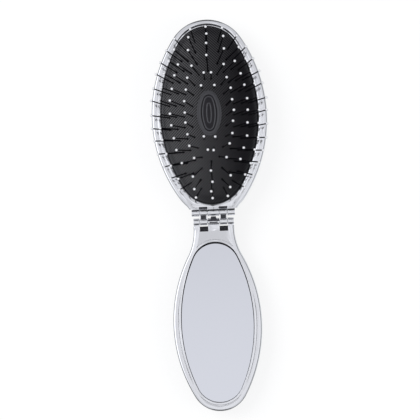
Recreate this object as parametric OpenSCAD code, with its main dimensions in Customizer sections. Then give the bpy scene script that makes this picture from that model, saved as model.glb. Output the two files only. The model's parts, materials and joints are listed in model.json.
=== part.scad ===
// Folding hairbrush with mirror, millimetres.
// The brush lies open on its back: +X right, +Y towards the brush head's far end, +Z up to the bristles.
// The origin is the middle of the open brush's length and width, on the surface that it rests on.

/* [Head] */
// Half width of the brush head
head_a = 30.9; // [30:0.1:34]
// Half length of the brush head's oval
head_b = 52.4; // [50:0.1:58]
// End radius of the brush head's oval
head_e = 21.5; // [20:0.5:23]
// Distance from the head's hinge pin to the middle of its oval
head_reach = 51.2; // [50:0.1:56]
// Thickness of the brush head, without the pad
head_t = 15; // [15:0.5:19]
// Half width of the head's neck at the hinge
head_neck = 11.7; // [11.5:0.1:13]
// Radius of the hollow curve from the head's oval into its neck
head_flare = 9; // [7:0.5:12]

/* [Handle] */
// Half width of the handle
handle_a = 23.7; // [23:0.1:28]
// Half length of the handle's oval
handle_b = 46.3; // [45:0.1:52]
// End radius of the handle's oval
handle_e = 15.5; // [14:0.5:17]
// Distance from the handle's hinge pin to the middle of its oval
handle_reach = 54.7; // [52:0.1:60]
// Thickness of the handle
handle_t = 13; // [11:0.5:15]
// Half width of the handle's neck at the hinge
handle_neck = 10.9; // [10.8:0.1:12]
// Radius of the hollow curve from the handle's oval into its neck
handle_flare = 30; // [24:1:36]

/* [Cases] */
// Wall of the two back shells
wall = 1.6; // [1.4:0.1:2]
// Height of the front frames, from the seam up
frame_h = 4; // [3.6:0.1:5]
// Roundness of the backs: the radius of a back across, over the half width
back_curve = 1.23; // [1.15:0.01:1.35]
// Height of the shells' upright side walls
side_wall = 3.5; // [3:0.1:4.5]
// Width of the raised band along the outline of both frames
band_w = 2.6; // [2:0.1:2.8]
// Depth of the panel inside the band
band_step = 0.7; // [0.4:0.1:1]
// Width of the rounded outer edge of both frames
edge_w = 1.1; // [0.6:0.1:1.2]
// Width of the groove between the head's band and its panel
groove_w = 0.5; // [0.4:0.1:0.8]
// Width of the slope from the head's panel down to the pad
slope_w = 1.3; // [0.8:0.1:1.4]

/* [Hinge] */
// Distance between the two hinge pins
pin_gap = 4.8; // [4.4:0.1:6]
// Height of the hinge pins above the resting surface
pin_z = 15.6; // [15.2:0.1:20]
// Diameter of the hinge pins
pin_d = 1.8; // [1.4:0.1:2.2]
// Outer radius of the knuckles and of the links' ends
knuckle_r = 1.8; // [1.7:0.1:2]
// Width of each link
link_w = 3.9; // [3:0.1:4.2]
// Distance from the middle of the hinge to the middle of each link
link_x = 5.3; // [5:0.1:5.6]
// Running clearance of the links on the pins, in radius
pin_play = 0.05; // [0.03:0.01:0.1]
// Side play between links and knuckles
side_play = 0.3; // [0.2:0.05:0.4]

/* [Pad] */
// Width of the head's frame beside the pad
pad_rim_side = 5.1; // [4.8:0.1:5.6]
// Width of the head's frame at the ends of the pad
pad_rim_end = 4.7; // [4.4:0.1:5.4]
// Distance of the pad's middle from the middle of the head's oval, away from the hinge
pad_shift = 1.2; // [0.8:0.1:1.6]
// Depth of the pad's rim below the top of the frame
pad_sink = 1.5; // [1.2:0.1:2]
// Height of the pad's dome above its rim
dome_h = 9; // [7:0.5:9]
// Thickness of the rubber
rubber = 1.2; // [1:0.1:1.4]

/* [Press plate] */
// Half width of the oval boss in the middle of the pad
boss_a = 6.6; // [5.5:0.1:6.8]
// Half length of the oval boss
boss_b = 12; // [10.5:0.1:12.5]
// Half width of the thumb button under the pad
thumb_a = 6; // [5:0.1:6.2]
// Half length of the thumb button
thumb_b = 11.5; // [9:0.1:12]

/* [Bristles] */
// Free length of a bristle, with its ball tip
bristle_l = 12.6; // [10:0.1:13]
// Diameter of a bristle
bristle_d = 0.6; // [0.5:0.05:0.8]
// Diameter of the ball tip
ball_d = 1.4; // [1.2:0.1:1.6]

/* [Mirror] */
// Width of the handle's frame beside the mirror
mirror_rim_side = 4.4; // [4.2:0.1:6]
// Width of the handle's frame at the ends of the mirror
mirror_rim_end = 3.7; // [3.5:0.1:6]
// Distance of the mirror's middle from the middle of the handle's oval, towards the hinge
mirror_shift = 1.1; // [0.6:0.1:1.6]
// Thickness of the mirror glass
mirror_t = 1.8; // [1.5:0.1:2.2]

/* [Hidden] */
$fn = 96;
eps = 0.01;

seat_gap = 0.1;      // between a part and the wall that it sits in
edge_h = 1.3;        // depth of the rounded outer edge of the frames
groove_h = 0.8;      // depth of the groove below the panel
slope_h = 0.6;       // depth of the slope round the pad
oval_ratio = 0.66;   // end radius over half width, for rings, boss, button and mirror
join_step = 0.015;   // arcs that would only touch cross by this much

// a half's outline: [reach, half width, half length, end radius, half width of the neck, flare]
HEAD = [head_reach, head_a, head_b, head_e, head_neck, head_flare];
HANDLE = [handle_reach, handle_a, handle_b, handle_e, handle_neck, handle_flare];

// the open brush is centred on the origin
head_end = head_reach + head_b;
handle_end = handle_reach + handle_b;
head_pin_y = (head_end + pin_gap + handle_end) / 2 - head_end;
handle_pin_y = head_pin_y - pin_gap;

// hinge stations along X
link_out = link_x + link_w / 2 + side_play;
link_in = link_x - link_w / 2 - side_play;
pin_l = 2 * (handle_neck - 0.5);
head_pocket = knuckle_r + 0.5;   // from the pin to the head's neck
head_slot = 3.2;                 // from the pin to the end of the head's slots, over the links
handle_start = knuckle_r + 0.5;  // from the pin to the end of the handle's neck
handle_pocket = 5.1;             // from the pin to the end of the handle's slots
web_h = 2.6;                     // height of the webs that carry the knuckles

// head levels
head_seam = head_t - frame_h;
rim_z = head_t - pad_sink;       // the pad's rim, where the dome starts
flange_w = 1;                    // rubber flange held under the frame
clamp_w = 1.2;
clamp_h = 2;
pad_a = head_a - pad_rim_side;   // half width of the pad inside the frame
pad_b = head_b - pad_rim_end;
pad_e = pad_a * oval_ratio;
ledge_z = rim_z - rubber - clamp_h;
pad_mid = [0, head_pin_y + head_reach + pad_shift];

// The dome is what two lemon shapes share, cut flat on top. Each turns about a line along Y, low under
// the pad: [depth of that line under the rim, largest radius, radius of the arc that it is turned from]
shoulder_sink = 9;
shoulder_r = norm([pad_a, shoulder_sink]);
shoulder_rise = shoulder_r - shoulder_sink;
SHOULDER = [shoulder_sink, shoulder_r, arc_over(pad_b, shoulder_rise)];
crown_r = 2.33 * pad_a;
flat_top = 0.4;                  // by this much the dome is cut flat under the boss
CROWN = [crown_r - dome_h - flat_top, crown_r, 5.45 * pad_b];

// thumb button and boss
boss_h = 1.5;
thumb_t = 1.5;
stud_r = 1.4;
stud_y = 5.5;
thumb_gap = 1.6;                 // around the thumb button in the back shell's opening

// handle levels
handle_seam = handle_t - frame_h;
mirror_a = handle_a - mirror_rim_side;
mirror_b = handle_b - mirror_rim_end;
mirror_reach = handle_reach - mirror_shift;
lip_w = 1.3;
mirror_play = 0.25;
mirror_sink = 0.9;               // mirror's face below the top of the frame
backing_t = 0.6;

// bristles: rings are [half width, half length, count, lean at the sides, lean at the ends]
root_l = rubber + 0.6;           // length inside the pad, enough for the leaning bristles
root_head_d = 1.1;
root_head_t = 0.3;
hole_play = 0.04;                // around a bristle in the rubber, in radius
ring_a = [0.83 * pad_a, 0.853 * pad_b, 32, 51, 22];
ring_b = [0.682 * pad_a, 0.759 * pad_b, 28, 48, 28];
ring_c = [0.523 * pad_a, 0.629 * pad_b, 24, 36, 34];
ring_d = [0.36 * pad_a, 0.507 * pad_b, 20, 17, 32];
OUTER = [ring_a, ring_b];
INNER = [ring_c, ring_d];
side_parts = 3;                  // groups along each long side
outer_end_parts = 3;             // groups round each end, outer rings
inner_end_parts = 1;             // groups round each end, inner rings
// the bristles round the boss: [x, y, lean]
middle_spots = [[0.5 * boss_a, boss_b + 1.6, 0], [0.27 * boss_a, boss_b + 6.4, 8]];

// ---- ovals drawn with four arcs: e is the end radius, s the side radius ----
function side_r(a, b, e) = (a * a + b * b - 2 * b * e) / (2 * (a - e));
function side_angle(a, b, e) = asin((b - e) / (side_r(a, b, e) - e));

// The middle part runs on a little past the joins, to where it stands out of the end arcs by join_step.
module oval(a, b, e) {
    s = side_r(a, b, e);
    join_y = (b - e) + e * sin(side_angle(a, b, e)) + sqrt(2 * join_step / (1 / e - 1 / s));
    intersection() {
        translate([a - s, 0]) circle(s, $fn = 240);
        translate([s - a, 0]) circle(s, $fn = 240);
        square([2 * a + 1, 2 * join_y], center = true);
    }
    for (k = [-1, 1]) translate([0, k * (b - e)]) circle(e);
}

// ---- lemon shapes: an arc turned about the Y axis; r is the largest radius, arc_r that of the arc ----
module lemon(r, arc_r, half_l, skin) {
    rotate([-90, 0, 0]) rotate_extrude($fn = 180) intersection() {
        translate([r - arc_r, 0]) circle(arc_r - skin, $fn = 360);
        translate([0, -half_l]) square([r + 1, 2 * half_l]);
    }
}

// radius of the arc that falls by drop at a distance l from its middle
function arc_over(l, drop) = (l * l + drop * drop) / (2 * drop);

// ---- outline of one half of the brush: oval, hollow flare and neck, pin at the origin, oval up +Y ----
// The flare's arc touches the oval's side where it can, and otherwise its end.
function on_side(half) = let (s = side_r(half[1], half[2], half[3]))
    acos((flare_x(half) - half[1] + s) / (s + half[5])) < side_angle(half[1], half[2], half[3]);
function flare_x(half) = half[4] + half[5];
function flare_y(half) = let (s = side_r(half[1], half[2], half[3]), x = flare_x(half))
    on_side(half) ? half[0] - sqrt(pow(s + half[5], 2) - pow(x - half[1] + s, 2))
        : half[0] - half[2] + half[3] - sqrt(pow(half[3] + half[5], 2) - x * x);
// where the line from the flare's centre through the touching point crosses the middle
function apex_y(half) = let (s = side_r(half[1], half[2], half[3]), x = flare_x(half), y = flare_y(half))
    on_side(half) ? y + (half[0] - y) * x / (x - half[1] + s) : half[0] - half[2] + half[3];

module half_outline(half, inset, end_y) {
    neck = half[4] - inset;
    x = flare_x(half);
    y = flare_y(half);
    low = min(y, end_y) - 1;
    translate([0, half[0]]) oval(half[1] - inset, half[2] - inset, half[3] - inset);
    difference() {
        intersection() {
            polygon([[-neck, low], [neck, low], [neck, y], [x, y], [0, apex_y(half)], [-x, y], [-neck, y]]);
            translate([-x, end_y]) square([2 * x, half[0]]);
        }
        for (k = [-1, 1]) translate([k * x, y]) circle(half[5] + inset + join_step, $fn = 180);
    }
}

// The back of a half: a steeper shape that meets the side walls at the height z, and a flatter one below.
// Both are cut flat where the brush rests.
module back_shape(half, z, skin) {
    a = half[1];
    b = half[2];
    r = back_curve * a;
    rise = sqrt(r * r - a * a);
    flat_r = 2 * r;
    flat_w = 0.63 * a;
    flat_z = sqrt(flat_r * flat_r - flat_w * flat_w);
    translate([0, half[0], 0]) intersection() {
        translate([0, 0, z + rise]) lemon(r, arc_over(b, r - rise), b + 6, skin);
        translate([0, 0, flat_z]) lemon(flat_r, arc_over(0.66 * b, flat_r - flat_z), b + 6, skin);
        translate([-a - 2, -b - 7, skin]) cube([2 * a + 4, 2 * b + 14, 2 * a]);
    }
}

// a back shell's outside, with the neck's plate
module shell_block(half, seam, end_y) {
    intersection() {
        linear_extrude(seam) half_outline(half, 0, end_y);
        union() {
            back_shape(half, seam - side_wall, 0);
            translate([-half[1], end_y - 1, seam - side_wall])
                cube([2 * half[1], half[0] - half[2] + 10 - end_y, side_wall + 1]);
        }
    }
}

// ---- plates whose edge follows a profile: steps of [inset, height] from the bottom up ----
function top_of(profile) = profile[len(profile) - 1][1];

module edge_disc(r, profile) {
    rotate_extrude($fn = 180)
        polygon(concat([[0, top_of(profile)], [0, profile[0][1]]], [for (p = profile) [r - p[0], p[1]]]));
}

module edge_oval(a, b, e, profile) {
    s = side_r(a, b, e);
    join_y = (b - e) + e * sin(side_angle(a, b, e)) + sqrt(2 * join_step / (1 / e - 1 / s));
    intersection() {
        translate([a - s, 0, 0]) edge_disc(s, profile);
        translate([s - a, 0, 0]) edge_disc(s, profile);
        translate([-a - 2, -join_y, -1]) cube([2 * a + 4, 2 * join_y, top_of(profile) + 2]);
    }
    for (k = [-1, 1]) translate([0, k * (b - e), 0]) edge_disc(e, profile);
}

// the whole outline of a half: the flares are cut with discs that widen upwards as the oval narrows
module edge_plate(half, end_y, profile) {
    neck = half[4];
    r = half[5] + join_step;
    x = flare_x(half);
    y = flare_y(half);
    top = top_of(profile);
    last = profile[len(profile) - 1][0];
    translate([0, half[0], 0]) edge_oval(half[1], half[2], half[3], profile);
    difference() {
        linear_extrude(top) intersection() {
            polygon([[-neck, y], [neck, y], [x, y], [0, apex_y(half)], [-x, y]]);
            translate([-x, end_y]) square([2 * x, half[0]]);
        }
        for (k = [-1, 1]) translate([k * x, y, 0]) rotate_extrude($fn = 180)
            polygon(concat([[0, top + 1], [0, -1], [r, -1]], [for (p = profile) [r + p[0], p[1]]],
                [[r + last, top + 1]]));
    }
    if (y > end_y) translate([0, y + eps, 0]) rotate([90, 0, 0]) linear_extrude(y + eps - end_y)
        polygon(concat([for (p = profile) [p[0] - neck, p[1]]],
            [for (i = [len(profile) - 1:-1:0]) [neck - profile[i][0], profile[i][1]]]));
}

// a frame's plate: seam at z = 0, rounded outer edge, panel sunk inside the band, with a groove round it
module frame_plate(half, end_y, groove) {
    soft_edge = [for (t = [0, 35, 65, 90]) [edge_w * (1 - cos(t)), frame_h - edge_h * (1 - sin(t))]];
    floor_z = frame_h - band_step;
    difference() {
        edge_plate(half, end_y, concat([[0, 0]], soft_edge));
        // an oval that reaches past the neck's end is cut there
        if (half[0] - half[2] < end_y) translate([-half[1], half[0] - half[2] - 1, -1])
            cube([2 * half[1], end_y - half[0] + half[2] + 1, frame_h + 2]);
        if (groove > 0) difference() {
            translate([0, 0, floor_z - groove_h]) linear_extrude(frame_h) half_outline(half, band_w, end_y - 2);
            linear_extrude(floor_z) half_outline(half, band_w + groove, end_y - 3);
        }
        else translate([0, 0, floor_z]) linear_extrude(frame_h) half_outline(half, band_w, end_y - 2);
    }
}

// places a part that is drawn about its own pin, oval up +Y
module at_head() {
    translate([0, head_pin_y, 0]) children();
}

module at_handle() {
    translate([0, handle_pin_y, 0]) mirror([0, 1, 0]) children();
}

module at_pad(z) {
    translate([pad_mid[0], pad_mid[1], z]) children();
}

module along_x(x0, x1, r) {
    translate([x0, 0, 0]) rotate([0, 90, 0]) cylinder(h = x1 - x0, r = r, $fn = 48);
}

// the three knuckles of one half, with the webs that carry them back to the neck
module knuckles(neck, pocket) {
    spans = [[-neck, -link_out], [-link_in, link_in], [link_out, neck]];
    for (span = spans) {
        translate([0, 0, pin_z]) along_x(span[0], span[1], knuckle_r);
        translate([span[0], 0, pin_z - web_h]) cube([span[1] - span[0], pocket + 0.5, web_h]);
    }
}

module pin_bore(r) {
    translate([0, 0, pin_z]) along_x(-pin_l / 2, pin_l / 2, r);
}

// ---- brush head ----
module pad_outline(grow) {
    oval(pad_a + grow, pad_b + grow, pad_e + grow);
}

module thumb_outline(grow) {
    oval(thumb_a + grow, thumb_b + grow, (thumb_a + grow) * oval_ratio);
}

module head_shell() {
    color("silver") difference() {
        difference() {
            at_head() shell_block(HEAD, head_seam, head_pocket);
            intersection() {
                at_pad(0) linear_extrude(head_t) pad_outline(-0.4);
                at_head() back_shape(HEAD, head_seam - side_wall, wall);
            }
        }
        at_pad(ledge_z) linear_extrude(head_t) pad_outline(clamp_w + seat_gap);
        at_pad(-1) linear_extrude(wall + 2) thumb_outline(thumb_gap);
    }
}

module head_frame() {
    color("gainsboro") difference() {
        at_head() union() {
            difference() {
                translate([0, 0, head_seam]) frame_plate(HEAD, head_pocket, groove_w);
                for (k = [-1, 1]) translate([k * link_x - link_w / 2 - side_play, 0, rim_z - slope_h])
                    cube([link_w + 2 * side_play, head_slot, frame_h]);
            }
            knuckles(head_neck - 0.2, head_pocket);
        }
        at_head() pin_bore(pin_d / 2);
        // seat for the rubber flange and the clamp ring
        at_pad(0) linear_extrude(rim_z) pad_outline(clamp_w + seat_gap);
        at_pad(rim_z - 1) linear_extrude(head_t) pad_outline(0);
        // slope from the panel down to the pad
        at_pad(head_t - band_step - slope_h) edge_oval(pad_a, pad_b, pad_e,
            [[0.4, -0.1], [-slope_w, slope_h + 0.05], [-slope_w, slope_h + 1]]);
    }
}

module pad_clamp_ring() {
    color("dimgray") at_pad(ledge_z) linear_extrude(clamp_h) difference() {
        pad_outline(clamp_w);
        pad_outline(-0.2);
    }
}

// ---- rubber pad ----
module dome(skin, foot) {
    intersection() {
        translate([0, 0, -SHOULDER[0]]) lemon(SHOULDER[1], SHOULDER[2], pad_b + 2, skin);
        translate([0, 0, -CROWN[0]]) lemon(CROWN[1], CROWN[2], pad_b + 2, skin);
        translate([-pad_a - 2, -pad_b - 2, -foot]) cube([2 * pad_a + 4, 2 * pad_b + 4, dome_h - skin + foot]);
    }
}

module bristle_hole() {
    translate([0, 0, -3 * rubber]) cylinder(h = 6 * rubber, r = bristle_d / 2 + hole_play, $fn = 16);
}

module bristle_pad() {
    color("black") difference() {
        at_pad(rim_z) union() {
            dome(0, rubber / 2);
            translate([0, 0, -rubber]) linear_extrude(rubber) pad_outline(flange_w);
        }
        at_pad(rim_z) dome(rubber, 2 * rubber);
        for (ring = concat(OUTER, INNER)) for (i = [0:ring[2] - 1]) at_root(ring, i) bristle_hole();
        for (spot = middle_spots) for (sx = [-1, 1]) for (sy = [-1, 1]) at_spot(spot, sx, sy) bristle_hole();
        studs(stud_r + hole_play, 3 * rubber);
    }
}

// ---- press plate: boss above the rubber, button below it ----
module studs(r, h) {
    for (k = [-1, 1]) at_pad(rim_z + dome_h + eps - h) translate([0, k * stud_y, 0])
        cylinder(h = h, r = r, $fn = 48);
}

module boss_step(a, b, h) {
    linear_extrude(h) oval(a, b, a * oval_ratio);
}

module press_boss() {
    groove = 1.1;
    ridge = 1.1;
    color("#2b2a30") {
        at_pad(rim_z + dome_h) difference() {
            union() {
                boss_step(boss_a, boss_b, boss_h * 0.5);
                boss_step(boss_a - ridge, boss_b - ridge, boss_h);
            }
            translate([0, 0, boss_h * 0.55]) difference() {
                boss_step(boss_a - ridge - groove, boss_b - ridge - groove, boss_h);
                boss_step(boss_a - 2 * ridge - groove, boss_b - 2 * ridge - groove, boss_h * 0.35);
            }
        }
        studs(stud_r, rubber + thumb_t);
    }
}

module thumb_button() {
    color("#2b2a30") difference() {
        at_pad(rim_z + dome_h - rubber - thumb_t) linear_extrude(thumb_t) thumb_outline(0);
        studs(stud_r, rubber + thumb_t + 1);
    }
}

// ---- bristles ----
// height of the dome above the rim
function lemon_z(shape, x, y) =
    sqrt(pow(sqrt(shape[2] * shape[2] - y * y) - shape[2] + shape[1], 2) - x * x) - shape[0];
function dome_z(x, y) = min(lemon_z(SHOULDER, x, y), lemon_z(CROWN, x, y), dome_h);

// a point on a quarter of a ring at arc length u from its end: [x, y, direction below the X axis]
function quarter_point(a, b, e, u) =
    let (s = side_r(a, b, e), t = side_angle(a, b, e), end_arc = e * (90 - t) * PI / 180)
    u <= end_arc
        ? let (w = u / e * 180 / PI) [e * sin(w), b - e + e * cos(w), 90 - w]
        : let (w = t - (u - end_arc) / s * 180 / PI) [a - s + s * cos(w), s * sin(w), w];

// bristle i of a ring, counted from the hinge end up the right side: [x, y, direction of its lean]
function ring_point(ring, i) =
    let (a = ring[0], b = ring[1], e = a * oval_ratio, t = side_angle(a, b, e),
        quarter = (e * (90 - t) + side_r(a, b, e) * t) * PI / 180,
        run = i * 4 * quarter / ring[2], q = floor(run / quarter + 1e-6), part = run - q * quarter,
        p = quarter_point(a, b, e, q % 2 == 0 ? part : quarter - part))
    q == 0 ? [p[0], -p[1], -p[2]] : q == 1 ? [p[0], p[1], p[2]]
        : q == 2 ? [-p[0], p[1], 180 - p[2]] : [-p[0], -p[1], 180 + p[2]];

function lean_of(ring, dir) = ring[3] + (ring[4] - ring[3]) * pow(sin(dir), 2);

// the group that a direction falls in, counted from the hinge end of the right side
function group_of(dir, end_parts) =
    let (t = side_angle(pad_a, pad_b, pad_e), d = (dir + t + 360) % 360)
    d < 2 * t ? floor(d / (2 * t) * side_parts)
        : d < 180 ? side_parts + floor((d - 2 * t) / (180 - 2 * t) * end_parts)
        : d < 180 + 2 * t ? side_parts + end_parts + floor((d - 180) / (2 * t) * side_parts)
        : 2 * side_parts + end_parts + floor((d - 180 - 2 * t) / (180 - 2 * t) * end_parts);

// stands children on the dome, leaning out
module at_root(ring, i) {
    p = ring_point(ring, i);
    at_pad(rim_z + dome_z(p[0], p[1])) translate([p[0], p[1], 0])
        rotate(p[2]) rotate([0, lean_of(ring, p[2]), 0]) children();
}

module at_spot(spot, sx, sy) {
    at_pad(rim_z + dome_z(spot[0], spot[1])) translate([sx * spot[0], sy * spot[1], 0])
        rotate([-sy * spot[2], 0, 0]) children();
}

module bristle() {
    translate([0, 0, -root_l]) cylinder(h = root_l + bristle_l - ball_d / 2, r = bristle_d / 2, $fn = 16);
    translate([0, 0, -root_l - root_head_t]) cylinder(h = root_head_t, r = root_head_d / 2, $fn = 16);
    translate([0, 0, bristle_l - ball_d / 2]) sphere(r = ball_d / 2, $fn = 20);
}

module bristle_group(rings, end_parts, number) {
    color("#1c1b20") for (ring = rings) for (i = [0:ring[2] - 1])
        if (group_of(ring_point(ring, i)[2], end_parts) == number - 1)
            at_root(ring, i) bristle();
}

module bristles_middle() {
    color("#1c1b20") for (spot = middle_spots) for (sx = [-1, 1]) for (sy = [-1, 1])
        at_spot(spot, sx, sy) bristle();
}

// ---- hinge ----
module head_pin() {
    color("lightsteelblue") at_head() pin_bore(pin_d / 2);
}

module handle_pin() {
    color("lightsteelblue") at_handle() pin_bore(pin_d / 2);
}

module link(side) {
    x0 = side * link_x - link_w / 2;
    waist = knuckle_r * 1.1;
    recess = [link_w - 1.1, pin_gap - 2.6, 2];
    color("gainsboro") difference() {
        translate([0, head_pin_y, pin_z]) {
            for (y = [0, -pin_gap]) translate([0, y, 0]) along_x(x0, x0 + link_w, knuckle_r);
            translate([x0, -pin_gap, -waist / 2]) cube([link_w, pin_gap, waist]);
        }
        for (y = [head_pin_y, handle_pin_y]) translate([0, y, pin_z])
            along_x(x0 - 1, x0 + link_w + 1, pin_d / 2 + pin_play);
        translate([side * link_x, head_pin_y - pin_gap / 2, pin_z + 0.8]) cube(recess, center = true);
    }
}

module link_left() {
    link(-1);
}

module link_right() {
    link(1);
}

// ---- handle ----
module mirror_outline(grow) {
    oval(mirror_a + grow, mirror_b + grow, mirror_a * oval_ratio + grow);
}

module handle_frame() {
    floor_z = handle_t - mirror_sink - mirror_t - backing_t;
    color("gainsboro") difference() {
        at_handle() union() {
            difference() {
                translate([0, 0, handle_seam]) frame_plate(HANDLE, handle_start, 0);
                slots();
            }
            translate([0, mirror_reach, handle_t - band_step - eps]) linear_extrude(band_step - 0.1)
                mirror_outline(lip_w);
            handle_knuckles();
        }
        at_handle() pin_bore(pin_d / 2);
        at_handle() translate([0, mirror_reach, floor_z]) linear_extrude(frame_h)
            mirror_outline(mirror_play);
        at_handle() translate([0, mirror_reach, handle_seam - 1]) linear_extrude(frame_h)
            mirror_outline(-4);
    }
}

// pockets in the handle's neck that the links fold into
module slots() {
    for (k = [-1, 1]) translate([k * link_x, handle_pocket / 2, handle_t])
        cube([link_w + 2 * side_play, handle_pocket, 3 * frame_h], center = true);
}

module handle_knuckles() {
    foot_z = handle_seam + 1;
    edge = handle_neck - 0.2;
    for (span = [[-edge, -link_out], [-link_in, link_in], [link_out, edge]]) {
        w = span[1] - span[0];
        translate([0, 0, pin_z]) along_x(span[0], span[1], knuckle_r);
        translate([span[0], 0, foot_z]) cube([w, knuckle_r + 0.6, pin_z - foot_z]);
        translate([span[0], 0, foot_z]) cube([w, handle_pocket, handle_t - band_step - foot_z]);
    }
    // the tongue that fills the middle gap between the two halves, its top sloping towards the head
    tip = pin_gap - knuckle_r - 0.3;
    intersection() {
        translate([0, 0, pin_z - 1]) linear_extrude(4)
            polygon([[-2.3, 1], [2.3, 1], [1.25, -tip], [-1.25, -tip]]);
        translate([-3, 0, pin_z]) rotate([90, 0, 90]) linear_extrude(6)
            polygon([[1.5, -0.9], [1.5, knuckle_r + 0.25], [0.9, knuckle_r + 0.2], [-tip - 1, 0.6],
                [-tip - 1, -0.9]]);
    }
}

module handle_shell() {
    color("silver") difference() {
        at_handle() shell_block(HANDLE, handle_seam, handle_start);
        intersection() {
            at_handle() translate([0, handle_reach, 0]) linear_extrude(handle_t)
                oval(handle_a - wall, handle_b - wall, handle_e - wall);
            at_handle() back_shape(HANDLE, handle_seam - side_wall, wall);
        }
    }
}

module mirror_glass() {
    color("lavender") at_handle()
        translate([0, mirror_reach, handle_t - mirror_sink - mirror_t]) linear_extrude(mirror_t)
            mirror_outline(0);
}

module mirror_backing() {
    color("dimgray") at_handle()
        translate([0, mirror_reach, handle_t - mirror_sink - mirror_t - backing_t])
            linear_extrude(backing_t) mirror_outline(-1);
}

head_shell();
head_frame();
pad_clamp_ring();
bristle_pad();
press_boss();
thumb_button();
head_pin();
handle_pin();
link_left();
link_right();
handle_frame();
handle_shell();
mirror_glass();
mirror_backing();
bristles_middle();
for (k = [1:12]) bristle_group(OUTER, outer_end_parts, k);
for (k = [1:8]) bristle_group(INNER, inner_end_parts, k);
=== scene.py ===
"""Folding pocket hairbrush with a mirror in its handle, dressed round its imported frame.

The brush lies open on its back: +X right, +Y towards the brush head's far end, +Z up to the bristles.
Lengths are in metres, and MM turns millimetres into them.
"""

import json
import math

import bpy
from mathutils import Matrix, Vector


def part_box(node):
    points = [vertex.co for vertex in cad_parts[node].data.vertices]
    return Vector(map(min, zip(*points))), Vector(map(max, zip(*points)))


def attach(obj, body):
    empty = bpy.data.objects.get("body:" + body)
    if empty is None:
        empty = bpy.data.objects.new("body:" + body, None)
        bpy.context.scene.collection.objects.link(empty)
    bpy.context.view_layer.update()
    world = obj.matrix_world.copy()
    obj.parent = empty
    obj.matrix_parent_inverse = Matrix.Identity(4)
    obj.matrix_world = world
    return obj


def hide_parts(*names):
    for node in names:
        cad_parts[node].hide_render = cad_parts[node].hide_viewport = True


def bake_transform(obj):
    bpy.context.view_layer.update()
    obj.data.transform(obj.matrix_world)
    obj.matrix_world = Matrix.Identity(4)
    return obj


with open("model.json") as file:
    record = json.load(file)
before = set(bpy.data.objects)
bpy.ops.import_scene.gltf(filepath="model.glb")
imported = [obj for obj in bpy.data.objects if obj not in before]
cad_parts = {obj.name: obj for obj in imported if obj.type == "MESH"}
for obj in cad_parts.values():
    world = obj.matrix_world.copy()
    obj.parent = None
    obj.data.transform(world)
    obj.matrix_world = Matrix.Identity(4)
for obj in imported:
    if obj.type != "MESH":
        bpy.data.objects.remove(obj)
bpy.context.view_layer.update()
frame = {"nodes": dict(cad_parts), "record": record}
MM = 0.001


# ---- Camera ----
# It hangs over the open brush, a little towards the handle's end, turned so that the head leans left.
# It stands well back, so that both ends of the brush are seen nearly from above.
eye_distance = 0.800
seen_width = 0.2239          # width of what the picture takes in at the height of the rims
turn, from_end, from_right = math.radians(2.3), math.radians(2), math.radians(0.8)
aim_at = Vector((-1.7 * MM, 2.5 * MM, 15 * MM))
camera_data = bpy.data.cameras.new("camera")
camera_data.sensor_width = 36
camera_data.lens = camera_data.sensor_width * eye_distance / seen_width
camera = bpy.data.objects.new("camera", camera_data)
camera.rotation_euler = (from_end, from_right, -turn)
camera.location = aim_at + camera.rotation_euler.to_matrix() @ Vector((0, 0, eye_distance))
bpy.context.scene.collection.objects.link(camera)
bpy.context.scene.camera = camera
bpy.context.scene.view_settings.view_transform = "Standard"


# ---- Head's back cover ----
# A shell moulded in hard plastic and lacquered silver. It carries the front frame, the rubber pad and
# the press plate, and has an oval opening for the thumb.
def alone(piece):
    """Selects one piece and nothing else."""
    bpy.ops.object.select_all(action="DESELECT")
    piece.select_set(True)
    bpy.context.view_layer.objects.active = piece


def edit_all():
    """Opens the active piece in edit mode with all of it selected."""
    bpy.ops.object.mode_set(mode="EDIT")
    bpy.ops.mesh.select_all(action="SELECT")


def copy_of(node, name):
    """A copy of a frame's node with its points merged and its flat faces whole, ready to be softened."""
    same_point, flat_within = 0.002 * MM, math.radians(0.3)
    piece = bpy.data.objects.new(name, frame["nodes"][node].data.copy())
    bpy.context.scene.collection.objects.link(piece)
    alone(piece)
    bpy.ops.mesh.customdata_custom_splitnormals_clear()
    edit_all()
    bpy.ops.mesh.remove_doubles(threshold=same_point)
    bpy.ops.mesh.dissolve_limited(angle_limit=flat_within)
    bpy.ops.object.mode_set(mode="OBJECT")
    piece.data.materials.clear()
    return piece


def soften(piece, width, segments=3, sharp_from=35):
    """Rounds the edges of a piece that turn by more than an angle in degrees."""
    alone(piece)
    bevel = piece.modifiers.new("soft edges", "BEVEL")
    bevel.width = width
    bevel.segments = segments
    bevel.limit_method = "ANGLE"
    bevel.angle_limit = math.radians(sharp_from)
    bevel.harden_normals = False
    bpy.ops.object.modifier_apply(modifier=bevel.name)
    bpy.ops.object.shade_smooth_by_angle(angle=math.radians(40))


def new_material(name, colour, roughness, metallic=0.0):
    """A material with its Principled shader at a plain setting, and the shader."""
    material = bpy.data.materials.new(name)
    material.use_nodes = True
    shader = material.node_tree.nodes["Principled BSDF"]
    shader.inputs["Base Color"].default_value = (*colour, 1)
    shader.inputs["Roughness"].default_value = roughness
    shader.inputs["Metallic"].default_value = metallic
    return material, shader


def feed(tree, socket, value):
    """Links a socket to another one, or sets its value."""
    if isinstance(value, bpy.types.NodeSocket):
        tree.links.new(value, socket)
    else:
        socket.default_value = value


def node_of(tree, kind, **inputs):
    """A new shader node with its inputs fed by name."""
    made = tree.nodes.new(kind)
    for key, value in inputs.items():
        feed(tree, made.inputs[key.replace("_", " ")], value)
    return made


def worked_out(tree, operation, *values):
    """What a Math node makes of some values."""
    node = tree.nodes.new("ShaderNodeMath")
    node.operation = operation
    for socket, value in zip(node.inputs, values):
        feed(tree, socket, value)
    return node.outputs["Value"]


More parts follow.
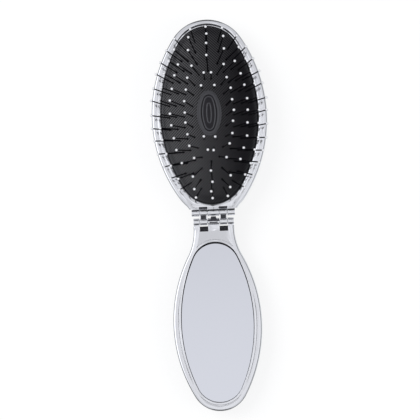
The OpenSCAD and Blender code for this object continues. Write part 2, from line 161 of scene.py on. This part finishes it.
def graded(tree, value, start, end, low=0.0, high=1.0):
    """A value that goes from low to high while another one goes from start to end."""
    reader = node_of(tree, "ShaderNodeMapRange", Value=value,
                     From_Min=start, From_Max=end, To_Min=low, To_Max=high)
    return reader.outputs["Result"]


def handling_marks_group():
    """Faint smudges and a fine grain, as on a part that is carried in a bag: a roughness and a height."""
    group = bpy.data.node_groups.new("handling_marks", "ShaderNodeTree")
    for name, way in (("Roughness", "INPUT"), ("Smudges", "INPUT"),
                      ("Roughness", "OUTPUT"), ("Height", "OUTPUT")):
        group.interface.new_socket(name, in_out=way, socket_type="NodeSocketFloat")
    given = group.nodes.new("NodeGroupInput").outputs
    result = group.nodes.new("NodeGroupOutput").inputs
    place = group.nodes.new("ShaderNodeTexCoord").outputs["Object"]
    smudge = node_of(group, "ShaderNodeTexNoise", Vector=place, Scale=45.0, Detail=4.0)
    fine = node_of(group, "ShaderNodeTexNoise", Vector=place, Scale=900.0, Detail=2.0)
    spread = graded(group, smudge.outputs["Fac"], start=0.35, end=0.75)
    amount = worked_out(group, "MULTIPLY_ADD", spread, given["Smudges"], given["Roughness"])
    group.links.new(amount, result["Roughness"])
    group.links.new(fine.outputs["Fac"], result["Height"])
    return group


handling_marks = handling_marks_group()


def mark(material, shader, smudges, depth):
    """Gives a material the handling marks, starting from the roughness that it has."""
    tree = material.node_tree
    marks = tree.nodes.new("ShaderNodeGroup")
    marks.node_tree = handling_marks
    marks.inputs["Roughness"].default_value = shader.inputs["Roughness"].default_value
    marks.inputs["Smudges"].default_value = smudges
    tree.links.new(marks.outputs["Roughness"], shader.inputs["Roughness"])
    bump = node_of(tree, "ShaderNodeBump", Height=marks.outputs["Height"],
                   Strength=depth, Distance=0.02 * MM)
    tree.links.new(bump.outputs["Normal"], shader.inputs["Normal"])


silver_lacquer, silver_shader = new_material("silver_lacquer", (0.62, 0.63, 0.67),
                                             roughness=0.28, metallic=0.85)
mark(silver_lacquer, silver_shader, smudges=0.08, depth=0.25)

head_back = copy_of("head_shell", "head_back_cover")
soften(head_back, 0.8 * MM, segments=4, sharp_from=20)
head_back.data.materials.append(silver_lacquer)
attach(head_back, "head")
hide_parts("head_shell")


# ---- Head's front frame ----
# The frame round the pad, with the head's three hinge knuckles moulded on it, in plastic that is plated
# bright. It clamps the pad onto the back cover.
def paint_faces(piece, material, chosen):
    """Gives one more material to the faces whose middle, in millimetres, and normal the test picks."""
    piece.data.materials.append(material)
    for face in piece.data.polygons:
        if chosen(face.center / MM, face.normal):
            face.material_index = len(piece.data.materials) - 1


bright_plating, plating_shader = new_material("bright_plating", (0.92, 0.925, 0.95),
                                              roughness=0.08, metallic=1.0)
mark(bright_plating, plating_shader, smudges=0.1, depth=0.12)
# painted shade: a dark material put where shade falls in the grooves, slots and pockets of the plated and
# lacquered parts
painted_recess_shade, recess_shade_shader = new_material("painted_recess_shade", (0.03, 0.03, 0.036), roughness=0.45)
mark(painted_recess_shade, recess_shade_shader, smudges=0.1, depth=0.3)

head_front = copy_of("head_frame", "head_front_frame")
head_front.data.materials.append(bright_plating)
# the groove inside the band, where it runs down to the neck, and the two slots over the links get painted
# shade
looks_up = 0.7                               # from this height of its normal on, a face looks upwards
floors_below_z, shaded_as_far_as_y = 13.7, 34
paint_faces(head_front, painted_recess_shade, lambda at, normal: (
    normal.z > looks_up and at.z < floors_below_z and at.y < shaded_as_far_as_y))
soften(head_front, 0.15 * MM, segments=2, sharp_from=50)
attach(head_front, "head")
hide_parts("head_frame")


# ---- Clamp ring ----
# A plain ring of grey plastic on a ledge of the back cover. It presses the pad's flange up against the
# frame, and hardly any of it shows.
def dress(node, material):
    """Gives its material to a frame's node that is kept as it is."""
    materials = frame["nodes"][node].data.materials
    materials.clear()
    materials.append(material)


grey_plastic, grey_shader = new_material("grey_plastic", (0.12, 0.12, 0.135), roughness=0.55)
mark(grey_plastic, grey_shader, smudges=0.1, depth=0.3)
dress("pad_clamp_ring", grey_plastic)


# ---- Rubber pad ----
# A thin domed cushion of black rubber with a fine diagonal hatch, moulded in one piece. Its rim is held
# under the frame, and its middle follows the press plate when the brush is folded.
rim_z = 13.5 * MM
pad_low, pad_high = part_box("bristle_pad")
pad_middle = (pad_low + pad_high) / 2
flange = 1.0 * MM
pad_half_w = (pad_high.x - pad_low.x) / 2 - flange
pad_half_l = (pad_high.y - pad_low.y) / 2 - flange
dome_height = pad_high.z - rim_z
end_ratio = 0.66             # radius of an oval's end arcs over its half width


def oval_point(half_w, half_l, angle):
    """A point of a four-arc oval in the direction of an angle seen from its middle."""
    end_r = half_w * end_ratio
    side_r = (half_w**2 + half_l**2 - 2 * half_l * end_r) / (2 * (half_w - end_r))
    end_y = half_l - end_r                       # centre of the end arc, on the Y axis
    side_x = half_w - side_r                     # centre of the side arc, on the X axis
    across, along = abs(math.cos(angle)), abs(math.sin(angle))
    reach = across * side_x + math.sqrt((across * side_x) ** 2 - side_x**2 + side_r**2)
    if reach * along > end_y * side_r / (side_r - end_r):
        reach = along * end_y + math.sqrt(end_r**2 - (across * end_y) ** 2)
    return reach * math.cos(angle), reach * math.sin(angle)


def flat_oval(name, half_w, half_l, points, middle=(0, 0, 0)):
    """A ring of edges along an oval."""
    bpy.ops.object.select_all(action="DESELECT")
    bpy.ops.mesh.primitive_circle_add(vertices=points, radius=1, fill_type="NOTHING")
    line = bpy.context.object
    line.name = name
    for vertex in line.data.vertices:
        angle = math.atan2(vertex.co.y, vertex.co.x)
        vertex.co = Vector((*oval_point(half_w, half_l, angle), 0)) + Vector(middle)
    return line


def dome_z(share):
    """Height of the dome over the rim, at a share of the way from its middle to the rim."""
    x = share * pad_half_w
    shoulder_sink = 9 * MM                       # depth of the shoulder arc's centre under the rim
    shoulder = math.sqrt(pad_half_w**2 + shoulder_sink**2 - x * x) - shoulder_sink
    crown_r = 2.33 * pad_half_w
    crown_over = 0.4 * MM                        # the crown's arc is cut flat this far under its top
    crown = math.sqrt(crown_r**2 - x * x) - crown_r + dome_height + crown_over
    low, high = sorted((shoulder, crown))
    blend_over = 1.5 * MM
    if high - low < blend_over:
        low -= (blend_over - (high - low)) ** 2 / (4 * blend_over)
    return max(min(low, dome_height), 0)


spokes, rings = 144, 30
last_ring = 0.001            # what is left of the innermost ring's size before it is merged
pad = flat_oval("rubber_pad", pad_half_w, pad_half_l, spokes)
edit_all()
for ring in range(rings, 0, -1):
    smaller = max((ring - 1) / ring, last_ring)
    rise = dome_z((ring - 1) / rings) - dome_z(ring / rings)
    bpy.ops.mesh.extrude_region_move(TRANSFORM_OT_translate={"value": (0, 0, rise)})
    bpy.ops.transform.resize(value=(smaller, smaller, 1), center_override=(0, 0, 0))
bpy.ops.mesh.merge(type="CENTER")
bpy.ops.mesh.select_all(action="SELECT")
bpy.ops.transform.translate(value=(pad_middle.x, pad_middle.y, rim_z))
bpy.ops.mesh.normals_make_consistent(inside=False)
bpy.ops.object.mode_set(mode="OBJECT")
wall = pad.modifiers.new("rubber wall", "SOLIDIFY")
wall.thickness = 1.0 * MM
wall.offset = -1
bpy.ops.object.modifier_apply(modifier=wall.name)
bpy.ops.object.shade_smooth_by_angle(angle=math.radians(50))


def colour_between(tree, factor, first, second):
    """A colour that goes from the first to the second with a factor."""
    mix = tree.nodes.new("ShaderNodeMix")
    mix.data_type = "RGBA"
    first_socket, second_socket, mixed_socket = 6, 7, 2          # its colours among its sockets
    feed(tree, mix.inputs["Factor"], factor)
    feed(tree, mix.inputs[first_socket], first)
    feed(tree, mix.inputs[second_socket], second)
    return mix.outputs[mixed_socket]


black_rubber, rubber_shader = new_material("black_rubber", (0.01, 0.009, 0.012), roughness=0.45)
rubber = black_rubber.node_tree
rubber_place = rubber.nodes.new("ShaderNodeTexCoord").outputs["Object"]
ribs = []
for slant in (45, -45):
    turned = node_of(rubber, "ShaderNodeMapping", Vector=rubber_place, Rotation=(0, 0, math.radians(slant)))
    wave = node_of(rubber, "ShaderNodeTexWave", Vector=turned.outputs["Vector"], Scale=300.0)
    wave.wave_type = "BANDS"
    wave.bands_direction = "X"
    ribs.append(wave.outputs["Fac"])
rubber_at = node_of(rubber, "ShaderNodeSeparateXYZ", Vector=rubber_place).outputs
# the ribs run one way towards the tip of the dome and the other way on the rest of it
to_tip = graded(rubber, rubber_at["Y"], start=62 * MM, end=84 * MM, low=0.2, high=0.8)
hatch = node_of(rubber, "ShaderNodeMix", Factor=to_tip, A=ribs[0], B=ribs[1]).outputs["Result"]
# painted shade: the rubber's colour is darker in the valleys of the hatch than on its ribs
hatch_painted_shade = colour_between(rubber, hatch, (0.001, 0.001, 0.0015, 1), (0.012, 0.011, 0.014, 1))
rubber.links.new(hatch_painted_shade, rubber_shader.inputs["Base Color"])
# painted sheen: the tops of the ribs shine, most of all on the left half, as the bright card to the left
# would make them, and painted shade dulls the crease along the frame
rib_shine = graded(rubber, hatch, start=0, end=1, low=0.08, high=1.02)
left_painted_sheen = graded(rubber, rubber_at["X"], start=-8 * MM, end=16 * MM, low=1.4, high=0.25)
over_crease = graded(rubber, rubber_at["Z"], start=rim_z + 0.3 * MM, end=rim_z + 1.0 * MM)
dome_shine = worked_out(rubber, "MULTIPLY", rib_shine, left_painted_sheen)
shine = worked_out(rubber, "MULTIPLY", dome_shine, over_crease)
rubber.links.new(shine, rubber_shader.inputs["Specular IOR Level"])
relief = node_of(rubber, "ShaderNodeBump", Height=hatch, Strength=0.25, Distance=0.3 * MM)
rubber.links.new(relief.outputs["Normal"], rubber_shader.inputs["Normal"])
pad.data.materials.append(black_rubber)
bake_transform(pad)
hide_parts("bristle_pad")


# ---- Press plate ----
# A hard black boss in the middle of the pad and a thumb button under it, joined through the rubber by
# two studs. Both are moulded in glossy plastic, and the boss has two oval ridges.
black_plastic, black_shader = new_material("black_plastic", (0.036, 0.036, 0.041), roughness=0.2)
mark(black_plastic, black_shader, smudges=0.1, depth=0.15)
# painted shade for the floors of the grooves between the boss's ridges
groove_painted_shade, groove_shade_shader = new_material("groove_painted_shade", (0.008, 0.0075, 0.01), roughness=0.4)
groove_shade_shader.inputs["Specular IOR Level"].default_value = 0.25
lies_level = 0.9                             # from this height of its normal on, a face lies level
groove_from, groove_to = 0.1, 0.72           # depths under the top between which the grooves' floors lie
for node, name in (("press_boss", "oval_boss"), ("thumb_button", "thumb_button_plate")):
    piece = copy_of(node, name)
    piece.data.materials.append(black_plastic)
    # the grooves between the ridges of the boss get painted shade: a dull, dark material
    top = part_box(node)[1].z / MM
    paint_faces(piece, groove_painted_shade, lambda at, normal: (
        normal.z > lies_level and top - groove_to < at.z < top - groove_from))
    soften(piece, 0.12 * MM)
    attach(piece, "press_plate")
    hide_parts(node)


def oval_bead(name, half_w, half_l, thick, middle):
    """A round bead laid along an oval."""
    flat_oval(name, half_w, half_l, points=120, middle=middle)
    bpy.ops.object.convert(target="CURVE")
    line = bpy.context.object
    line.data.bevel_depth = thick / 2
    line.data.bevel_resolution = 2
    bpy.ops.object.convert(target="MESH")
    bpy.ops.object.shade_smooth()
    return bpy.context.object


boss_low, boss_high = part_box("press_boss")
ridge_t = 1.1 * MM
ridge_middle = (0, (boss_low.y + boss_high.y) / 2, boss_high.z - ridge_t / 2)
# the rounded tops of its ridges, as (name, half width, half length) in millimetres
for name, half_w, half_l in (("boss_outer_bead", 3.3, 8.7), ("boss_inner_bead", 1.2, 5.2)):
    bead = oval_bead(name, half_w * MM, half_l * MM, ridge_t, ridge_middle)
    bead.data.materials.append(black_plastic)
    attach(bead, "press_plate")


# ---- Bristles ----
# Black nylon stems with moulded white ball tips, pushed through the rubber from below until their heads
# sit against it. One bristle is modelled and copied onto every line of the frame.
stem_r, ball_r, head_r, head_t = 0.34 * MM, 0.7 * MM, 0.55 * MM, 0.3 * MM
collar_low, collar_high = 1.5 * MM, 2.5 * MM     # a short black collar round the stem, from its foot
collar_low_r, collar_high_r = 0.62 * MM, 0.42 * MM
stem_sides = 8
nylon, nylon_shader = new_material("black_nylon", (0.002, 0.002, 0.003), roughness=0.3)
nylon_shader.inputs["Specular IOR Level"].default_value = 0.05
mark(nylon, nylon_shader, smudges=0.1, depth=0.1)
ball_white, ball_shader = new_material("ball_white", (0.74, 0.74, 0.75), roughness=0.28)
mark(ball_white, ball_shader, smudges=0.1, depth=0.1)
# painted shade: the ball's colour turns greyer towards its edge as seen, as if shaded side-on
edge_on = node_of(ball_white.node_tree, "ShaderNodeLayerWeight", Blend=0.35).outputs["Facing"]
edge_painted_shade = colour_between(ball_white.node_tree, edge_on, (0.80, 0.80, 0.81, 1), (0.25, 0.25, 0.27, 1))
ball_white.node_tree.links.new(edge_painted_shade, ball_shader.inputs["Base Color"])


def bristle_lines(node):
    """(foot, middle of the ball) of every bristle in a frame's node."""
    ball_depth = 2.05 * ball_r                   # the ball's points lie this near its topmost one
    foot_depth = 0.15 * MM                       # and the foot's points this near the farthest one
    copy_of(node, "lines")
    edit_all()
    bpy.ops.mesh.separate(type="LOOSE")
    bpy.ops.object.mode_set(mode="OBJECT")
    lines = []
    for part in list(bpy.context.selected_objects):
        points = [v.co.copy() for v in part.data.vertices]
        top = max(points, key=lambda p: p.z)
        ball = [p for p in points if (p - top).length < ball_depth]
        middle = Vector([(min(p[k] for p in ball) + max(p[k] for p in ball)) / 2 for k in range(3)])
        far = max((p - middle).length for p in points)
        foot = [p for p in points if (p - middle).length > far - foot_depth]
        lines.append((sum(foot, Vector()) / len(foot), middle))
        bpy.data.objects.remove(part)
    return sorted(lines, key=lambda line: tuple(line[0]))


def join_selected():
    """Makes the selected pieces one with the active piece, which gets its place in its mesh."""
    bpy.ops.object.join()
    bpy.ops.object.transform_apply(location=True, rotation=True, scale=True)


def model_bristle(length):
    """One bristle along +Z with its foot at the origin."""
    bpy.ops.object.select_all(action="DESELECT")
    bpy.ops.mesh.primitive_cylinder_add(vertices=stem_sides, radius=stem_r, depth=length,
                                        location=(0, 0, length / 2), end_fill_type="NOTHING")
    stem = bpy.context.object
    bpy.ops.mesh.primitive_cone_add(vertices=stem_sides, radius1=collar_low_r, radius2=collar_high_r,
                                    depth=collar_high - collar_low,
                                    location=(0, 0, (collar_low + collar_high) / 2))
    collar = bpy.context.object
    bpy.ops.mesh.primitive_cylinder_add(vertices=stem_sides, radius=head_r, depth=head_t,
                                        location=(0, 0, head_t / 2))
    foot = bpy.context.object
    bpy.ops.mesh.primitive_uv_sphere_add(segments=12, ring_count=8, radius=ball_r,
                                         location=(0, 0, length))
    ball = bpy.context.object
    for part, material in ((stem, nylon), (collar, nylon), (foot, nylon), (ball, ball_white)):
        part.data.materials.append(material)
        part.select_set(True)
    bpy.context.view_layer.objects.active = stem
    join_selected()
    bpy.ops.object.shade_smooth_by_angle(angle=math.radians(50))
    return stem


def stray(number, amount):
    """A small sideways offset, another for every bristle, since no two stand quite alike."""
    angle = 2.4 * number                         # about the golden angle on from the one before
    reach = amount * (0.4 + 0.6 * math.sin(1.7 * number) ** 2)
    return Vector((reach * math.cos(angle), reach * math.sin(angle), 0))


def rooted(foot, number):
    """A foot where the rubber pulls it: a little towards the neck, less so next to its lower end."""
    another_way = 40                             # so that a foot doesn't stray as its ball does
    pull, none_at_y, all_after = 1.6 * MM, 13 * MM, 10 * MM
    foot = foot + stray(number + another_way, 0.4 * MM)
    foot.y -= pull * min(max((foot.y - none_at_y) / all_after, 0), 1)
    return foot


bodies = frame["record"]["behaviour"]["bodies"]
rows = sorted((node, body) for body, nodes in bodies.items()
              for node in nodes if node.startswith("bristles_"))
pattern = None
placed = 0
for node, body in rows:
    lines = bristle_lines(node)
    if pattern is None:
        pattern = model_bristle((lines[0][1] - lines[0][0]).length)
    standing = []
    for foot, middle in lines:
        placed += 1
        middle = middle + stray(placed, 0.5 * MM)
        if node != "bristles_middle":
            foot = rooted(foot, placed)
        lean = Vector((0, 0, 1)).rotation_difference(middle - foot)
        one = pattern.copy()
        one.data = pattern.data.copy()
        bpy.context.scene.collection.objects.link(one)
        one.matrix_world = Matrix.Translation(foot) @ lean.to_matrix().to_4x4()
        standing.append(one)
    bpy.ops.object.select_all(action="DESELECT")
    for one in standing:
        one.select_set(True)
    row = standing[0]
    bpy.context.view_layer.objects.active = row
    join_selected()
    row.name = "nylon_" + node
    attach(row, body)
    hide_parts(node)
bpy.data.objects.remove(pattern)


# ---- Hinge ----
# Two plated links turn on two steel pins, one in the head's knuckles and one in the handle's. A pin is
# tight in its knuckles and loose in the links.
pin_steel, pin_shader = new_material("pin_steel", (0.62, 0.63, 0.66), roughness=0.22, metallic=1.0)
mark(pin_steel, pin_shader, smudges=0.1, depth=0.2)
for node in ("head_pin", "handle_pin"):
    dress(node, pin_steel)
pin_z = 15.6                                 # height of both pins, in millimetres
link_recess_z, recess_within = pin_z - 0.2, 0.1
for node, name in (("link_left", "left_hinge_link"), ("link_right", "right_hinge_link")):
    piece = copy_of(node, name)
    piece.data.materials.append(bright_plating)
    # the recess between the two eyes gets painted shade
    paint_faces(piece, painted_recess_shade, lambda at, normal: (
        normal.z > looks_up and abs(at.z - link_recess_z) < recess_within))
    soften(piece, 0.15 * MM, segments=2, sharp_from=50)
    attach(piece, "links")
    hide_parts(node)


# ---- Handle ----
# A lacquered back cover and a plated front frame with a raised lip, which holds the mirror. The frame
# lies on the cover along a flat seam, and two slots between its knuckles let the links fold in.
handle_back = copy_of("handle_shell", "handle_back_cover")
handle_back.data.materials.append(silver_lacquer)
slots_from_y, cover_top_z = -9.6, 8.9
edit_all()
bpy.ops.mesh.bisect(plane_co=(0, slots_from_y * MM, 0), plane_no=(0, 1, 0))
bpy.ops.object.mode_set(mode="OBJECT")
# what shows of it through the two slots gets painted shade
paint_faces(handle_back, painted_recess_shade, lambda at, normal: (
    normal.z > lies_level and at.y > slots_from_y and at.z > cover_top_z))
soften(handle_back, 0.8 * MM, segments=4, sharp_from=20)
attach(handle_back, "handle")
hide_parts("handle_shell")

handle_front = copy_of("handle_frame", "handle_front_frame")
handle_front.data.materials.append(bright_plating)
mirror_low, mirror_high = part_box("mirror_glass")
mirror_middle = (mirror_low + mirror_high) / 2


def on_tongue(at, normal):
    """Whether a face is the sloping top of the tongue between the links."""
    tongue_side_x, tongue_top_z = 2.4, pin_z + 0.5
    slopes = normal.y > 0.1 and normal.z > 0.8
    return slopes and abs(at.x) < tongue_side_x and at.z > tongue_top_z


def in_pocket(at, normal):
    """Whether a face belongs to the mirror's pocket: a wall that looks at its middle, or its ledge."""
    pocket_end_y, pocket_start_y, pocket_floor_z = -110, -10, 8
    wall_top_z, ledge_top_z = 12.85, 11
    inward = (at - mirror_middle / MM).xy.dot(normal.xy) < 0.1
    is_wall = normal.z < 0.3
    top_z = wall_top_z if is_wall else ledge_top_z
    inside = pocket_end_y < at.y < pocket_start_y and pocket_floor_z < at.z < top_z
    return inward and inside and normal.z > -0.3


# both get painted shade, which on the tongue's top stands for a reflection of the dark pad
paint_faces(handle_front, painted_recess_shade, lambda at, normal: on_tongue(at, normal) or in_pocket(at, normal))
soften(handle_front, 0.15 * MM, segments=2, sharp_from=50)
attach(handle_front, "handle")
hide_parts("handle_frame")

mirror_half_w = (mirror_high.x - mirror_low.x) / 2
mirror_half_l = (mirror_high.y - mirror_low.y) / 2
# beads of the lip, as (name, distance out from the mirror's edge, thickness, height) in millimetres
for name, out, thick, height in (("lip_foot_bead", 1.35, 0.55, 12.4), ("lip_inner_bead", 0.42, 0.3, 12.78)):
    bead = oval_bead(name, mirror_half_w + out * MM, mirror_half_l + out * MM, thick * MM,
                     (mirror_middle.x, mirror_middle.y, height * MM))
    bead.data.materials.append(bright_plating)
    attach(bead, "handle")


# ---- Mirror ----
# Silvered glass with a ground edge, glued on a thin dark backing inside the handle's lip. It lies against
# the lower end of its pocket, so that the gap is widest at the top.
dress("mirror_backing", grey_plastic)
mirror_silver, mirror_shader = new_material("mirror_silver", (0.86, 0.875, 0.93),
                                            roughness=0.02, metallic=1.0)
mark(mirror_silver, mirror_shader, smudges=0.03, depth=0.0)
mirror = copy_of("mirror_glass", "mirror_plate")
narrower, shorter = 0.995, 0.991
edit_all()
bpy.ops.transform.resize(value=(narrower, shorter, 1),
                         center_override=(mirror_middle.x, mirror_low.y, mirror_low.z))
bpy.ops.object.mode_set(mode="OBJECT")
soften(mirror, 0.2 * MM, segments=2)
for face in mirror.data.polygons:            # the silvered face is truly flat
    if face.normal.z > 0.99:
        face.use_smooth = False
mirror.data.materials.append(mirror_silver)
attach(mirror, "handle")
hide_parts("mirror_glass")


# ---- Table top and light ----
# A plain white table in a white tent, with light and dark cards hung in it and two soft lamps. Where the
# table is seen directly most of its white is a glow, and the rest is paint that takes the shadows.
def shader_between(tree, factor, first, second):
    """A shader that goes over to a second one with a factor."""
    mix = tree.nodes.new("ShaderNodeMixShader")
    for socket, value in zip(mix.inputs, (factor, first, second)):
        tree.links.new(value, socket)
    return mix.outputs["Shader"]


bpy.ops.object.select_all(action="DESELECT")
bpy.ops.mesh.primitive_plane_add(size=4, location=(0, 0, -0.05 * MM))
table_top = bpy.context.object
table_top.name = "table_top"
table_white = bpy.data.materials.new("table_white")
table_white.use_nodes = True
table = table_white.node_tree
table.nodes.clear()
table_ray = table.nodes.new("ShaderNodeLightPath").outputs
paint = node_of(table, "ShaderNodeBsdfDiffuse", Color=(0.93, 0.93, 0.93, 1)).outputs["BSDF"]
glow = node_of(table, "ShaderNodeEmission", Color=(1, 1, 1, 1), Strength=1.0).outputs["Emission"]
glow_share = worked_out(table, "MULTIPLY", table_ray["Is Camera Ray"], 0.8)
seen_table = shader_between(table, glow_share, paint, glow)
# polished sides see it darker on the left and past both ends, as if dark screens stood there
table_place = table.nodes.new("ShaderNodeTexCoord").outputs["Object"]
table_at = node_of(table, "ShaderNodeSeparateXYZ", Vector=table_place).outputs
aside = graded(table, table_at["X"], start=-35 * MM, end=30 * MM, low=0.42, high=0.8)
from_middle = worked_out(table, "ABSOLUTE", table_at["Y"])
beyond = graded(table, from_middle, start=85 * MM, end=108 * MM, low=1.0, high=0.3)
level = worked_out(table, "MULTIPLY", aside, beyond)
mirrored = node_of(table, "ShaderNodeEmission", Color=(0.95, 0.98, 1, 1), Strength=level)
either = shader_between(table, table_ray["Is Glossy Ray"], seen_table, mirrored.outputs["Emission"])
node_of(table, "ShaderNodeOutputMaterial", Surface=either)
table_top.data.materials.append(table_white)

world = bpy.data.worlds.new("studio")
bpy.context.scene.world = world
world.use_nodes = True
tent = world.node_tree
tent.nodes.clear()
tent_ray = tent.nodes.new("ShaderNodeLightPath").outputs
tent_place = tent.nodes.new("ShaderNodeTexCoord").outputs["Generated"]
# what polished parts see of the tent: a pale wall, and cards as (direction, inner and outer angle, grey)
seen_tent = (0.62, 0.63, 0.66, 1)
cards = (
    ((0, 0, 1), 6, 30, 0.72),
    ((0, -0.35, 1), 4, 22, 0.80),
    ((0, 0.35, 1), 4, 22, 0.62),
    ((-0.075, 0.1, 1), 2, 5, 1.05),
    ((-0.75, 0.1, 0.6), 16, 34, 1.5),
    ((0.8, 0, 0.35), 18, 36, 0.22),
    ((0.5, -0.1, 0.85), 10, 20, 0.85),
    ((0, 0.8, 0.6), 8, 18, 0.3),
    ((0, 0.95, 0.25), 17, 26, 0.06),
    ((0, -0.95, 0.3), 14, 26, 0.07),
)
bluer = (1, 1.01, 1.05)                      # a card's grey in red, green and blue
for toward, inner, outer, grey in cards:
    facing = tent.nodes.new("ShaderNodeVectorMath")
    facing.operation = "DOT_PRODUCT"
    tent.links.new(tent_place, facing.inputs[0])
    facing.inputs[1].default_value = Vector(toward).normalized()
    card = node_of(tent, "ShaderNodeMapRange", Value=facing.outputs["Value"],
                   From_Min=math.cos(math.radians(outer)), From_Max=math.cos(math.radians(inner)))
    card.interpolation_type = "SMOOTHSTEP"
    card_colour = (*(grey * share for share in bluer), 1)
    seen_tent = colour_between(tent, card.outputs["Result"], seen_tent, card_colour)


def tent_glow(colour, strength):
    """A background shader of the tent."""
    return node_of(tent, "ShaderNodeBackground", Color=colour, Strength=strength).outputs["Background"]


cloth = tent_glow((0.93, 0.95, 1.0, 1), strength=0.75)
polished_sees = tent_glow(seen_tent, strength=1.0)
white = tent_glow((1, 1, 1, 1), strength=1.0)
lit = shader_between(tent, tent_ray["Is Glossy Ray"], cloth, polished_sees)
shown = shader_between(tent, tent_ray["Is Camera Ray"], lit, white)
node_of(tent, "ShaderNodeOutputWorld", Surface=shown)

# the two lamps, as (name, place, width, watts)
for name, lamp_at, width, watts in (("left_lamp", (-0.5, 0.25, 0.7), 0.5, 4.0),
                                    ("right_lamp", (0.6, -0.2, 0.6), 0.4, 1.2)):
    lamp_data = bpy.data.lights.new(name, "AREA")
    lamp_data.size = width
    lamp_data.energy = watts
    lamp = bpy.data.objects.new(name, lamp_data)
    lamp.location = lamp_at
    lamp.visible_glossy = False
    lamp.rotation_euler = (-Vector(lamp_at)).to_track_quat("-Z", "Y").to_euler()
    bpy.context.scene.collection.objects.link(lamp)
